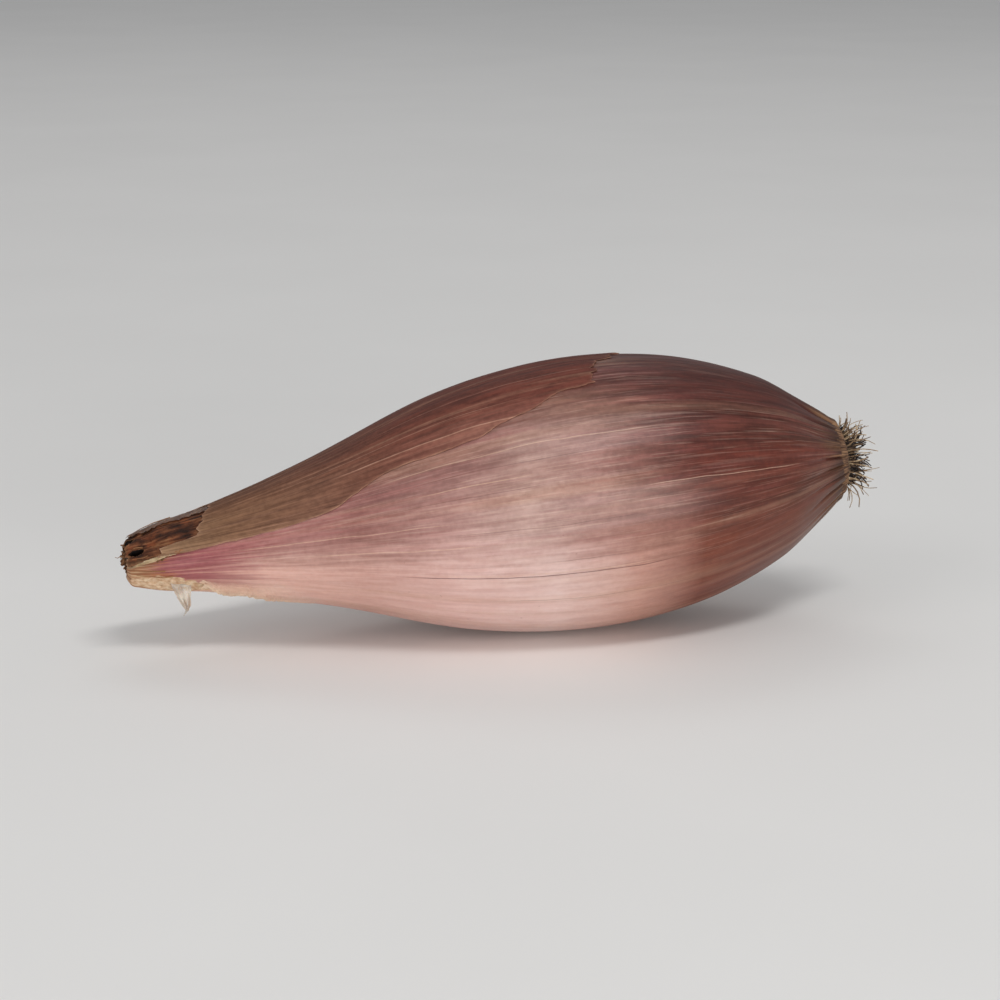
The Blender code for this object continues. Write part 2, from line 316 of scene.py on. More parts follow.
def open_up(obj, gone):
    """Cuts the vertices that are marked as gone out of a sheet."""
    bpy.ops.object.mode_set(mode="EDIT")
    bpy.ops.mesh.select_mode(type="VERT")
    bpy.ops.mesh.select_all(action="DESELECT")
    bpy.ops.object.mode_set(mode="OBJECT")
    obj.data.vertices.foreach_set("select", np.asarray(gone, dtype=bool))
    bpy.ops.object.mode_set(mode="EDIT")
    bpy.ops.mesh.delete(type="VERT")
    bpy.ops.object.mode_set(mode="OBJECT")


# Nodes


def add(tree, kind, **settings):
    """A new node with these settings."""
    new = tree.nodes.new(kind)
    for key, value in settings.items():
        setattr(new, key, value)
    return new


def paint(colour):
    """A colour from its everyday numbers, as Blender keeps it."""
    linear = (c / 255 / 12.92 if c < 10.3 else ((c / 255 + 0.055) / 1.055) ** 2.4 for c in colour)
    return (*linear, 1)


def feed(tree, value, socket):
    """Wires a socket into another, or sets its number or colour."""
    if isinstance(value, bpy.types.NodeSocket):
        tree.links.new(value, socket)
    elif isinstance(value, tuple):
        socket.default_value = paint(value)
    else:
        socket.default_value = value


def calc(tree, operation, *values):
    """A sum of numbers or sockets."""
    new = add(tree, "ShaderNodeMath", operation=operation)
    for i, value in enumerate(values):
        feed(tree, value, new.inputs[i])
    return new.outputs[0]


def chain(tree, operation, values):
    """The same sum done with one value after another."""
    result = values[0]
    for value in values[1:]:
        result = calc(tree, operation, result, value)
    return result


def times(tree, *values):
    """Values or masks multiplied together."""
    return chain(tree, "MULTIPLY", values)


def plus(tree, *values):
    """Values added together."""
    return chain(tree, "ADD", values)


def drift(tree, value, streak, reach):
    """A value pushed up and down by a streak, half the reach each way."""
    return plus(tree, value, times(tree, calc(tree, "SUBTRACT", streak, 0.5), reach))


def between(tree, value, low, high, start=0.0, end=1.0):
    """A smooth step from start, where the value is low, to end, where it is high."""
    new = add(tree, "ShaderNodeMapRange", interpolation_type="SMOOTHSTEP")
    for i, number in enumerate((value, low, high, start, end)):
        feed(tree, number, new.inputs[i])
    return new.outputs[0]


def within(tree, value, start, full, still_full, end):
    """A mask that rises from start to full, and falls from still_full to end."""
    return times(tree, between(tree, value, start, full), between(tree, value, end, still_full))


def blend(tree, share, first, second, how="MIX"):
    """Two colours mixed by a share."""
    new = add(tree, "ShaderNodeMix", data_type="RGBA", blend_type=how, clamp_factor=True)
    feed(tree, share, new.inputs[0])
    feed(tree, first, new.inputs[6])
    feed(tree, second, new.inputs[7])
    return new.outputs[2]


def over(tree, colour, tone, *masks):
    """A colour with another laid over it, as far as all the masks together let it."""
    return blend(tree, times(tree, *masks), colour, tone)


def ramp(tree, value, *stops):
    """A colour for each value from 0 to 1, with the stops as pairs of value and colour."""
    new = add(tree, "ShaderNodeValToRGB")
    elements = new.color_ramp.elements
    while len(elements) < len(stops):
        elements.new(0.5)
    for element, (spot, colour) in zip(elements, stops):
        element.position = spot
        element.color = paint(colour)
    feed(tree, value, new.inputs[0])
    return new.outputs[0]


def cloud(tree, vector, scale, detail):
    """Blender's noise at these places."""
    new = add(tree, "ShaderNodeTexNoise")
    for title, value in (("Vector", vector), ("Scale", scale), ("Detail", detail)):
        feed(tree, value, new.inputs[title])
    return new.outputs[0]


def spot_of(tree, *parts):
    """A place from its parts."""
    new = add(tree, "ShaderNodeCombineXYZ")
    for i, part in enumerate(parts):
        feed(tree, part, new.inputs[i])
    return new.outputs[0]


def kept(tree, name):
    """The number that a piece keeps for each vertex under this name."""
    return add(tree, "ShaderNodeAttribute", attribute_name=name).outputs["Fac"]


# Effects that several materials use


def new_group(name, numbers, outputs, colours=(), colour_out=False):
    """An empty shader group with these sockets, its given values and its end node."""
    tree = bpy.data.node_groups.new(name, "ShaderNodeTree")
    for title in colours:
        tree.interface.new_socket(title, in_out="INPUT", socket_type="NodeSocketColor")
    for title, value in numbers.items():
        socket = tree.interface.new_socket(title, in_out="INPUT", socket_type="NodeSocketFloat")
        socket.default_value = value
    if colour_out:
        tree.interface.new_socket("Colour", in_out="OUTPUT", socket_type="NodeSocketColor")
    for title in outputs:
        tree.interface.new_socket(title, in_out="OUTPUT", socket_type="NodeSocketFloat")
    return tree, add(tree, "NodeGroupInput").outputs, add(tree, "NodeGroupOutput").inputs


def use(tree, group, **values):
    """Places a group in a material and returns its outputs by name."""
    new = add(tree, "ShaderNodeGroup", node_tree=group)
    for title, value in values.items():
        feed(tree, value, new.inputs[title])
    return new.outputs


def place_group():
    """Where a spot is on the bulb: mm along it, degrees about it, mm from its axis, and its side."""
    tree, _, out = new_group("place on the bulb", {}, ("Along", "Angle", "Radius", "Front", "Up"))
    from_tip = add(tree, "ShaderNodeVectorMath", operation="SUBTRACT")
    feed(tree, add(tree, "ShaderNodeTexCoord").outputs["Object"], from_tip.inputs[0])
    from_tip.inputs[1].default_value = TIP

    def along(direction):
        new = add(tree, "ShaderNodeVectorMath", operation="DOT_PRODUCT")
        feed(tree, from_tip.outputs[0], new.inputs[0])
        new.inputs[1].default_value = direction / MM
        return new.outputs["Value"]

    front, up = along(FRONT), along(UP)
    radius = calc(tree, "SQRT", plus(tree, times(tree, front, front), times(tree, up, up)))
    safe = calc(tree, "MAXIMUM", radius, 0.01)
    feed(tree, along(AXIS), out["Along"])
    feed(tree, calc(tree, "DEGREES", calc(tree, "ARCTAN2", up, front)), out["Angle"])
    feed(tree, radius, out["Radius"])
    feed(tree, calc(tree, "DIVIDE", front, safe), out["Front"])
    feed(tree, calc(tree, "DIVIDE", up, safe), out["Up"])
    return tree


def streak_group():
    """Streaks that run from neck to root and draw together at both ends."""
    numbers = {"Across": 30, "Along": 0.04, "Shift": 0, "Detail": 3}
    tree, given, out = new_group("lengthwise streaks", numbers, ("Value",))
    spot = use(tree, PLACE)
    front = plus(tree, times(tree, spot["Front"], given["Across"]), given["Shift"])
    up = times(tree, spot["Up"], given["Across"])
    places = spot_of(tree, front, up, times(tree, spot["Along"], given["Along"]))
    feed(tree, cloud(tree, places, 1, given["Detail"]), out["Value"])
    return tree


def line_group():
    """A fine line near one angle, between two places along the bulb."""
    numbers = {"Angle": 0, "Width": 0.15, "Start": 20, "End": 60}
    tree, given, out = new_group("fine line", numbers, ("Mask",))
    spot = use(tree, PLACE)
    fading = 5
    noise = cloud(tree, spot_of(tree, times(tree, spot["Along"], 0.11), given["Angle"]), 1, 2)
    off = calc(tree, "SUBTRACT", drift(tree, spot["Angle"], noise, 3), given["Angle"])
    arc = times(tree, calc(tree, "ABSOLUTE", calc(tree, "RADIANS", off)), spot["Radius"])
    line = between(tree, arc, given["Width"], 0)
    started = between(tree, spot["Along"], given["Start"], plus(tree, given["Start"], fading))
    ended = between(tree, spot["Along"], given["End"], calc(tree, "SUBTRACT", given["End"], fading))
    feed(tree, times(tree, line, started, ended), out["Mask"])
    return tree


def fleck_group():
    """Small irregular flecks and pores."""
    tree, given, out = new_group("flecks", {"Size": 1, "Amount": 0.3}, ("Mask", "Cloud"))
    spot = add(tree, "ShaderNodeTexCoord").outputs["Object"]
    noise = cloud(tree, spot, calc(tree, "DIVIDE", 1 / MM, given["Size"]), 4)
    top = calc(tree, "SUBTRACT", 0.78, times(tree, given["Amount"], 0.3))
    feed(tree, between(tree, noise, top, plus(tree, top, 0.06)), out["Mask"])
    feed(tree, noise, out["Cloud"])
    return tree


def mottle_group():
    """A colour made a little lighter and darker in long blotches and fine grain."""
    tree, given, out = new_group("mottle", {"Strength": 0.5}, ("Height",), ("Colour",), True)
    blotches = streaks(tree, 20, 0.24, 43, 5)
    dust = flecks(tree, 0.6, 0.2)["Cloud"]
    height = plus(tree, times(tree, blotches, 0.7), times(tree, dust, 0.3))
    tone = between(tree, height, 0.32, 0.68, 0.15, 0.85)
    feed(tree, blend(tree, given["Strength"], given["Colour"], tone, "SOFT_LIGHT"), out["Colour"])
    feed(tree, height, out["Height"])
    return tree


def thread_group():
    """Fine broken lines, dark and light, that run along the bulb over a colour."""
    numbers = {"Strength": 0.4, "Shift": 0}
    tree, given, out = new_group("fine threads", numbers, (), ("Colour", "Dark", "Light"), True)
    thin = streaks(tree, 84, 0.13, given["Shift"], 2)
    colour = over(tree, given["Colour"], given["Dark"], between(tree, thin, 0.43, 0.33), given["Strength"])
    colour = over(tree, colour, given["Light"], between(tree, thin, 0.57, 0.67), given["Strength"])
    feed(tree, colour, out["Colour"])
    return tree


def streaks(tree, across, along, shift, detail):
    """Lengthwise streaks: how many across, how quickly they change along, where and how fine."""
    return use(tree, STREAKS, Across=across, Along=along, Shift=shift, Detail=detail)["Value"]


def flecks(tree, size, amount):
    """Flecks of this size in mm, as a mask and as a cloud."""
    return use(tree, FLECKS, Size=size, Amount=amount)


def lined(tree, colour, tone, lines):
    """A colour with fine lines over it, each with its angle, width, start, end and strength."""
    for angle, width, start, end, strength in lines:
        mask = use(tree, LINE, Angle=angle, Width=width, Start=start, End=end)["Mask"]
        colour = over(tree, colour, tone, mask, strength)
    return colour


PLACE = place_group()
STREAKS = streak_group()
LINE = line_group()
FLECKS = fleck_group()
MOTTLE = mottle_group()
THREADS = thread_group()


# Materials


def new_finish(name, roughness, specular=0.5, thin=0):
    """A material with a plain shader, and its tree and shader."""
    material = bpy.data.materials.new(name)
    material.use_nodes = True
    shader = material.node_tree.nodes["Principled BSDF"]
    shader.inputs["Roughness"].default_value = roughness
    shader.inputs["Specular IOR Level"].default_value = specular
    shader.inputs["Subsurface Weight"].default_value = thin
    shader.inputs["Subsurface Radius"].default_value = (1, 0.45, 0.3)
    shader.inputs["Subsurface Scale"].default_value = 0.0012
    return material, material.node_tree, shader


def bump(tree, shader, height, depth, strength):
    """Feeds a height into the shader's normal."""
    new = add(tree, "ShaderNodeBump")
    new.inputs["Strength"].default_value = strength
    new.inputs["Distance"].default_value = depth * MM
    feed(tree, height, new.inputs["Height"])
    feed(tree, new.outputs[0], shader.inputs["Normal"])


def on_skin(tree):
    """Where a spot of the bulb's skin is, the streaks there, and the places that these push about."""
    spot = use(tree, PLACE)
    at = types.SimpleNamespace(along=spot["Along"], angle=spot["Angle"], front=spot["Front"], up=spot["Up"])
    at.share = calc(tree, "DIVIDE", at.along, LENGTH / MM)
    at.fine = streaks(tree, 38, 0.10, 0, 3)
    at.middle = streaks(tree, 15, 0.050, 7, 4)
    at.broad = streaks(tree, 5, 0.022, 21, 2)
    at.lowered = drift(tree, at.angle, at.middle, 34)
    at.uneven = drift(tree, at.along, at.fine, 16)
    at.lively = between(tree, at.lowered, -46, 4, 0.3, 1)
    return at


def skin_tones(tree, at):
    """The bulb's main colours: cream and pink below, duskier in front, brown above and behind. The light
    tones below are partly a painted highlight, and the dark browns above are partly painted shade.
    """
    # Painted highlight: the lightest pinks and creams, from share 0.42 to 0.55, stand partly for light on
    # the lower front
    below = ramp(
        tree, at.share,
        (0.00, (176, 128, 96)),
        (0.08, (196, 142, 128)),
        (0.18, (220, 176, 162)),
        (0.31, (206, 163, 151)),
        (0.42, (221, 183, 174)),
        (0.55, (225, 195, 187)),
        (0.66, (194, 148, 133)),
        (0.75, (118, 61, 43)),
        (0.85, (104, 52, 36)),
        (1.00, (84, 50, 33)),
    )
    front = ramp(
        tree, at.share,
        (0.00, (134, 92, 66)),
        (0.08, (162, 110, 95)),
        (0.14, (155, 106, 96)),
        (0.22, (152, 112, 103)),
        (0.31, (142, 99, 90)),
        (0.42, (165, 125, 117)),
        (0.52, (171, 137, 126)),
        (0.60, (157, 118, 109)),
        (0.67, (120, 79, 70)),
        (0.75, (69, 27, 18)),
        (0.88, (69, 32, 21)),
        (1.00, (72, 42, 29)),
    )
    # Painted shade: the deep red browns on top, most of all from share 0.68, are partly the skin's own
    # colour and partly shade
    above = ramp(
        tree, at.share,
        (0.00, (84, 52, 36)),
        (0.15, (112, 80, 62)),
        (0.30, (104, 58, 46)),
        (0.50, (104, 54, 44)),
        (0.68, (68, 22, 12)),
        (0.85, (58, 21, 12)),
        (1.00, (58, 34, 23)),
    )
    behind = ramp(
        tree, at.share,
        (0.00, (132, 92, 66)),
        (0.20, (176, 128, 112)),
        (0.50, (160, 108, 92)),
        (0.75, (134, 78, 58)),
        (1.00, (86, 52, 34)),
    )
    dusk = (120, 76, 70)
    colour = blend(tree, between(tree, at.lowered, 0, -36), front, below)
    higher = between(tree, at.lowered, 4, 26)
    colour = over(tree, colour, dusk, higher, within(tree, at.along, 16, 28, 38, 54), 0.74)
    colour = blend(tree, between(tree, drift(tree, at.up, at.middle, 0.6), 0.34, 0.90), colour, above)
    return blend(tree, between(tree, drift(tree, at.front, at.broad, 0.9), 0.1, -0.6), colour, behind)


def skin_streaks(tree, at, colour):
    """The bulb's colour with a stretch of painted shade low in front, and with rosy, pale and sandy
    streaks.
    """
    # Painted shade: darker low in front towards the roots, between the bright underside and the highlight
    # above
    painted_shade_band = within(tree, at.lowered, -34, -18, -8, 2)
    colour = over(tree, colour, (138, 94, 82), painted_shade_band, within(tree, at.along, 42, 56, 62, 72), 0.6)
    colour = over(tree, colour, (138, 78, 72), between(tree, at.fine, 0.52, 0.30), 0.22, at.lively)
    colour = over(tree, colour, (146, 84, 80), between(tree, at.middle, 0.50, 0.34), 0.26, at.lively)
    colour = over(tree, colour, (228, 194, 178), between(tree, at.fine, 0.55, 0.74), 0.15, at.lively)
    colour = over(tree, colour, (190, 150, 124), between(tree, at.broad, 0.50, 0.66), 0.22)
    threads = {"Dark": (128, 76, 68), "Light": (226, 192, 172), "Strength": times(tree, at.lively, 0.15)}
    return use(tree, THREADS, Colour=colour, **threads)["Colour"]


def skin_blushes(tree, at, colour):
    """The bulb's colour with cream beside the cut, magenta in front of the neck and russet by the roots,
    and painted shade over the upper side there.
    """
    low = times(tree, between(tree, at.angle, -42, -62), between(tree, at.front, -0.3, 0.1))
    colour = over(tree, colour, (221, 178, 153), low, between(tree, at.along, 22, 11), 0.8)

    magenta = times(tree, between(tree, at.along, 2.2, 5), between(tree, at.uneven, 19, 9))
    sides = within(tree, at.angle, -60, -38, 16, 34)
    colour = over(tree, colour, (137, 68, 75), magenta, sides, between(tree, at.middle, 0.28, 0.52), 0.84)
    rose = times(tree, between(tree, at.along, 9, 14), between(tree, at.uneven, 36, 16))
    colour = over(tree, colour, (156, 88, 90), rose, between(tree, at.angle, -16, 4), 0.42)

    russet = times(tree, between(tree, at.along, 62, 76), between(tree, at.middle, 0.54, 0.40))
    colour = over(tree, colour, (88, 42, 28), russet, 0.45)
    # Painted shade: the upper side towards the roots is darkened to a deep red brown, partly the skin's own
    # colour and partly shade
    ruddy_and_shade = times(tree, between(tree, at.along, 60, 72), between(tree, at.lowered, 24, 44))
    colour = over(tree, colour, (67, 21, 11), ruddy_and_shade, 0.65)
    patch = times(tree, between(tree, at.along, 61, 69), within(tree, at.angle, -14, 0, 8, 20))
    return over(tree, colour, (104, 46, 34), patch, between(tree, at.middle, 0.36, 0.55), 0.6)


def skin_lines(tree, colour):
    """The bulb's colour with the fine dark and pale lines that cross its front."""
    colour = lined(tree, colour, (84, 46, 38), (
        (-31, 0.11, 31, 66, 0.75), (-24.5, 0.07, 48, 60, 0.5), (8, 0.07, 30, 52, 0.4),
        (-9, 0.07, 36, 63, 0.4), (19, 0.08, 26, 58, 0.4), (-47, 0.08, 40, 70, 0.4),
    ))
    return lined(tree, colour, (218, 182, 158), (
        (1.5, 0.08, 60, 84, 0.5), (13, 0.11, 33, 50, 0.5), (-29.6, 0.10, 34, 64, 0.5),
        (-15, 0.09, 20, 44, 0.45), (26, 0.10, 30, 66, 0.45), (-3, 0.09, 12, 40, 0.4),
    ))


def skin_ends(tree, at, colour):
    """The bulb's colour with its dried neck and root end, and where the neck is dried."""
    aside = calc(tree, "ABSOLUTE", plus(tree, at.angle, 14))
    aside = calc(tree, "SUBTRACT", aside, times(tree, calc(tree, "SUBTRACT", at.uneven, 1.4), 5))
    edges = times(tree, between(tree, aside, -3, 3), between(tree, at.along, 8.5, 6))
    colour = over(tree, colour, (166, 104, 60), edges, 0.7)

    streaked = ramp(
        tree, streaks(tree, 30, 0.16, 31, 4),
        (0.34, (74, 44, 28)),
        (0.43, (146, 92, 58)),
        (0.53, (176, 132, 98)),
        (0.62, (212, 186, 150)),
    )
    tan = ramp(
        tree, times(tree, plus(tree, at.angle, 60), 0.008),
        (0, (188, 148, 112)),
        (0.35, (160, 116, 86)),
        (0.6, (96, 60, 40)),
    )
    dried = between(tree, plus(tree, at.along, times(tree, at.middle, 3)), 6, 3)
    colour = over(tree, colour, blend(tree, 0.3, streaked, tan), dried, 0.92)

    withered = ramp(tree, at.middle, (0.34, (20, 13, 10)), (0.48, (56, 34, 23)), (0.66, (128, 92, 64)))
    at_root = between(tree, plus(tree, at.share, times(tree, at.middle, 0.06)), 0.972, 1.01)
    return over(tree, colour, withered, at_root, 0.85), dried


def pink_skin():
    """The bulb's own skin: pink and cream in front, brown above and copper towards the roots."""
    material, tree, shader = new_finish("pink_copper_skin", 0.4, 0.34, 0.1)
    at = on_skin(tree)
    colour = skin_tones(tree, at)
    colour = skin_streaks(tree, at, colour)
    colour = skin_blushes(tree, at, colour)
    colour = skin_lines(tree, colour)
    colour, dried = skin_ends(tree, at, colour)

    colour = over(tree, colour, (112, 60, 48), flecks(tree, 0.9, 0.25)["Mask"], 0.25)
    mottled = use(tree, MOTTLE, Colour=colour, Strength=plus(tree, 0.16, times(tree, at.lively, 0.24)))
    crumbs = flecks(tree, 0.55, 0.8)["Cloud"]
    cream = ramp(tree, crumbs, (0.32, (182, 142, 107)), (0.48, (208, 174, 141)), (0.64, (225, 199, 167)))
    pit_shade_tone = ramp(tree, at.fine, (0.40, (9, 5, 4)), (0.62, (34, 20, 14)))
    cut = kept(tree, "cut")
    colour = over(tree, mottled["Colour"], (232, 206, 174), kept(tree, "torn"), 0.75)
    colour = blend(tree, cut, colour, cream)
    # Painted shade: near-black in the neck's pits and in the ring about the rolled leaves
    colour = blend(tree, kept(tree, "painted_hollow_shade"), colour, pit_shade_tone)
    feed(tree, colour, shader.inputs["Base Color"])

    matt = times(tree, calc(tree, "MAXIMUM", cut, dried), 0.35)
    upper = between(tree, at.up, 0.5, 0.9, 0, 0.2)
    feed(tree, plus(tree, 0.30, times(tree, at.middle, 0.16), matt, upper), shader.inputs["Roughness"])
    height = plus(tree, times(tree, at.fine, 0.5), times(tree, mottled["Height"], 0.5))
    bump(tree, shader, plus(tree, height, times(tree, cut, crumbs, 1.4)), 0.12, 0.25)
    return material


def dry_skin():
    """The papery skin: olive and tan at the neck, red brown over the bulb, paler where it is torn, with
    painted shade over its top.
    """
    material, tree, shader = new_finish("dry_papery_skin", 0.45, 0.22)
    spot = use(tree, PLACE)
    share = calc(tree, "DIVIDE", spot["Along"], LENGTH / MM)
    fine = streaks(tree, 52, 0.05, 3, 3)
    middle = streaks(tree, 14, 0.03, 11, 3)
    colour = ramp(
        tree, share,
        (0.04, (134, 103, 75)),
        (0.14, (118, 84, 60)),
        (0.26, (115, 78, 60)),
        (0.38, (111, 64, 51)),
        (0.55, (113, 59, 47)),
        (0.75, (98, 47, 36)),
    )
    threads = {"Dark": (72, 40, 32), "Light": (158, 118, 98), "Strength": 0.2, "Shift": 19}
    colour = use(tree, THREADS, Colour=colour, **threads)["Colour"]
    # Painted shade: the top of the skin is darkened past its own red brown
    painted_shade_top = between(tree, spot["Up"], 0.62, 0.95)
    colour = over(tree, colour, (80, 34, 24), painted_shade_top, between(tree, spot["Along"], 16, 28, 0.35, 0.55))
    colour = over(tree, colour, (80, 48, 38), between(tree, fine, 0.52, 0.32), 0.42)
    colour = over(tree, colour, (156, 118, 96), between(tree, middle, 0.54, 0.72), 0.35)
    warm = between(tree, spot["Up"], 0.80, 0.50)
    colour = over(tree, colour, (148, 100, 86), warm, between(tree, share, 0.32, 0.50), 0.8)
    colour = lined(tree, colour, (186, 142, 120), (
        (41, 0.14, 25, 60, 0.65), (50, 0.08, 18, 50, 0.35), (62, 0.08, 30, 60, 0.35),
        (75, 0.09, 14, 56, 0.3), (100, 0.11, 20, 60, 0.35), (128, 0.11, 12, 48, 0.35),
    ))
    colour = over(tree, colour, (184, 142, 116), kept(tree, "torn"), 0.6)
    mottled = use(tree, MOTTLE, Colour=colour, Strength=0.5)
    feed(tree, mottled["Colour"], shader.inputs["Base Color"])
    rough = plus(tree, 0.40, times(tree, middle, 0.22), between(tree, spot["Up"], 0.5, 0.9, 0, 0.2))
    feed(tree, rough, shader.inputs["Roughness"])
    bump(tree, shader, plus(tree, fine, mottled["Height"]), 0.12, 0.5)
    return material


def dried_leaf(name, tones, rust):
    """Brittle dried leaf, from four tones, dark to light, with rusty places, dark cracks and painted shade
    deep in the neck's tip.
    """
    material, tree, shader = new_finish(name, 0.7, 0.2)
    fine = streaks(tree, 9, 0.30, 5, 5)
    blotch = streaks(tree, 2.2, 0.45, 13, 4)
    crumbs = flecks(tree, 0.9, 0.5)
    mixed = plus(tree, times(tree, fine, 0.62), times(tree, blotch, 0.38))
    colour = ramp(tree, mixed, *zip((0.38, 0.46, 0.53, 0.62), tones))
    colour = over(tree, colour, rust, between(tree, blotch, 0.50, 0.62), 0.6)
    colour = lined(tree, colour, (22, 11, 8), (
        (40, 0.22, 1, 9, 0.85), (58, 0.22, 1, 14, 0.85), (81, 0.22, -4, 8, 0.85), (104, 0.22, 2, 13, 0.85),
    ))
    colour = over(tree, colour, (162, 120, 84), kept(tree, "torn"), 0.5)
    colour = over(tree, colour, (32, 18, 12), crumbs["Mask"], 0.5)
    spot = use(tree, PLACE)
    # Painted shade: near-black inside the rolled leaves, near the tip of the neck
    inside = between(tree, spot["Radius"], 2.1, 1.5)
    colour = over(tree, colour, (10, 6, 5), inside, between(tree, spot["Along"], 0, 0.6))
    feed(tree, colour, shader.inputs["Base Color"])
    bump(tree, shader, plus(tree, fine, crumbs["Cloud"]), 0.4, 0.9)
    return material


def pale_leaf(name, deep, light, clear):
    """Thin, pale leaf that lets some light through."""
    material, tree, shader = new_finish(name, 0.5, thin=0.35)
    fine = streaks(tree, 20, 0.3, 2, 3)
    mixed = times(tree, plus(tree, fine, flecks(tree, 1.6, 0.3)["Cloud"]), 0.5)
    feed(tree, ramp(tree, mixed, (0.36, deep), (0.60, light)), shader.inputs["Base Color"])
    shader.inputs["Alpha"].default_value = clear
    bump(tree, shader, mixed, 0.12, 0.5)
    return material


def corky(name, dark, medium, light, size, fibres=0):
    """Corky root plate or dry root, paler towards the plate's rim, with a share of lengthwise fibres."""
    material, tree, shader = new_finish(name, 0.85)
    crumbs = flecks(tree, size, 0.5)["Cloud"]
    rim = times(tree, between(tree, use(tree, PLACE)["Radius"], 2.2, 4), 0.10)
    fibrous = streaks(tree, 26, 0.5, 9, 4)
    tone = plus(tree, times(tree, crumbs, 1 - fibres), times(tree, fibrous, fibres), rim)
    feed(tree, ramp(tree, tone, (0.36, dark), (0.54, medium), (0.70, light)), shader.inputs["Base Color"])
    bump(tree, shader, crumbs, 0.3, 0.9)
    return material


def table_top():
    """A pale, matt table."""
    material, tree, shader = new_finish("pale_table", 0.75)
    colour = ramp(tree, flecks(tree, 60, 0)["Cloud"], (0.35, (233, 231, 228)), (0.65, (235, 233, 230)))
    feed(tree, colour, shader.inputs["Base Color"])
    return material


# The bulb and its papery skin


def make_bulb(material):
    """The bulb itself, from a ball drawn out to the bulb's outline."""
    bare()
    bpy.ops.mesh.primitive_uv_sphere_add(segments=110, ring_count=56, radius=1)
    obj = bpy.context.active_object
    finer = obj.modifiers.new("finer", "SUBSURF")
    finer.subdivision_type = "SIMPLE"
    finer.levels = 2
    apply_all(obj)
    ball = own(obj)
    ball /= np.linalg.norm(ball, axis=1)[:, None]
    share = np.clip((1 - ball[:, 2]) / 2, 0, 1)
    angle = np.degrees(np.arctan2(ball[:, 1], ball[:, 0]))
    points = on_bulb(share, angle)
    axis, up, front = np.array(AXIS), np.array(UP), np.array(FRONT)
    from_tip = points - np.array(TIP)

    # The tip is hollowed about the rolled leaves, and the root end under its plate
    tip_depth, root_depth = 1.7 * MM, 1.3 * MM
    beside = np.hypot(from_tip @ up - LEAVES_ABOVE_AXIS * MM, from_tip @ front) / MM
    at_tip = ease(share * LENGTH / MM, 0.9, 0.5)
    points += axis * (tip_depth * ease(beside, 2.15, 1.3) * at_tip)[:, None]
    across = np.hypot(from_tip @ up, from_tip @ front) / MM
    at_root = ease((1 - share) * LENGTH / MM, 0.9, 0.4)
    points -= axis * (root_depth * ease(across, 3.7, 3.0) * at_root)[:, None]

    # The hollows in the neck's side
    outward = np.cos(np.radians(angle))[:, None] * front + np.sin(np.radians(angle))[:, None] * up
    _, depth, dark = pits(share, angle)
    points -= outward * (depth * MM)[:, None]
    # Painted shade: near-black in the pits of the neck, a little way round them, and in the ring about the
    # rolled leaves at the tip
    painted_hollow_shade = np.maximum(ease(beside, 2.2, 1.6) * at_tip, dark)

    # The slanting cut, with a lumpy face
    over_cut = (points - np.array(CUT_START)) @ np.array(CUT_INWARD)
    near = (over_cut < 0.4 * MM) & (share < CUT_LAST_SHARE)
    lumps = np.zeros(len(points))
    spots = points[near] / MM
    lumps[near] = grain(*(spots * 1.6).T) * 0.10 * MM + grain(*(spots * 4).T, 3.0) * 0.05 * MM
    sunk = np.maximum(lumps - over_cut, 0) * (share < CUT_LAST_SHARE)
    points += np.array(CUT_INWARD) * sunk[:, None]
    cut = ease(sunk / MM, 0.0, 0.05)
    ragged = 0.3 * grain(points[:, 0] / MM * 1.5, points[:, 1] / MM * 1.5, 0.0)
    height = (points - np.array(TIP)) @ up / MM + ragged
    cut *= np.maximum(ease(share * LENGTH / MM, 1.2, 2.2), ease(height, -1.6, -2.1))

    points[:, 2] = np.maximum(points[:, 2], 0)
    put(obj, points)
    mark(obj, "cut", cut)
    mark(obj, "painted_hollow_shade", painted_hollow_shade * (1 - cut))
    smooth(obj, 70)
    ready(obj, "bulb_flesh", material, "bulb")


def make_skin(material):
    """The dry skin over the bulb's upper side, with torn ends and a fine front edge."""
    obj, u, v = flat_grid(300, 150)
    first = runs(SKIN_NECK_END, v) - teeth(v, 3.0, 0.008)
    last = runs(SKIN_ROOT_END, v) + teeth(v, 9.0, 0.016)
    share = first + (last - first) * u
    front = hermite(SKIN_FRONT, share) + 0.7 * grain(share * 60, 0, 0, 2.0)
    front += 0.3 * grain(share * 190, 0, 0, 4.0)
    back = runs(SKIN_BACK, share) + 2.0 * grain(share * 40, 0, 0, 8.0)
    angle = front + (back - front) * v

    # How far it is to each edge, in mm, and how far the skin stands off there
    radius = RADIUS * hermite(OUTLINE, share) / MM
    sides = np.minimum(np.radians(angle - front), np.radians(back - angle)) * radius
    to_neck = (share - first) * LENGTH / MM
    to_root = (last - share) * LENGTH / MM
    lift = 0.04 + 0.02 * grain(share * 20, v * 30, 0, 6.0) + 0.12 * ease(share, 0.2, 0.12)
    wave = 0.5 + 0.5 * grain(share * 30, v * 5, 0, 1.0)
    lift += 0.14 * wave * np.exp(-sides / 0.45) * ease(share, 0.16, 0.32) * ease(share, 0.60, 0.40)
    curled = 0.3 + 0.7 * np.abs(grain(v * 22, 0, 0, 5.0))
    lift += curled * (0.22 * np.exp(-to_neck / 0.8) + 0.08 * np.exp(-to_root / 0.8))
    fold = np.exp(-(((angle - 43) * 0.26) ** 2))
    lift += 0.07 * fold * ease(share, 0.27, 0.34) * ease(share, 0.62, 0.5)
    put(obj, on_bulb(share, angle, lift * MM))

    broken = 0.35 + 0.65 * ease(grain(share * 45, v * 25, 0, 12.0), -0.3, 0.5)
    nearest = np.minimum(sides, np.minimum(to_neck, to_root))
    mark(obj, "torn", np.exp(-nearest / 0.12) * broken)
    thicken(obj, 0.06, 1)
    ready(smooth(obj), "papery_skin", material, "outer_skin")


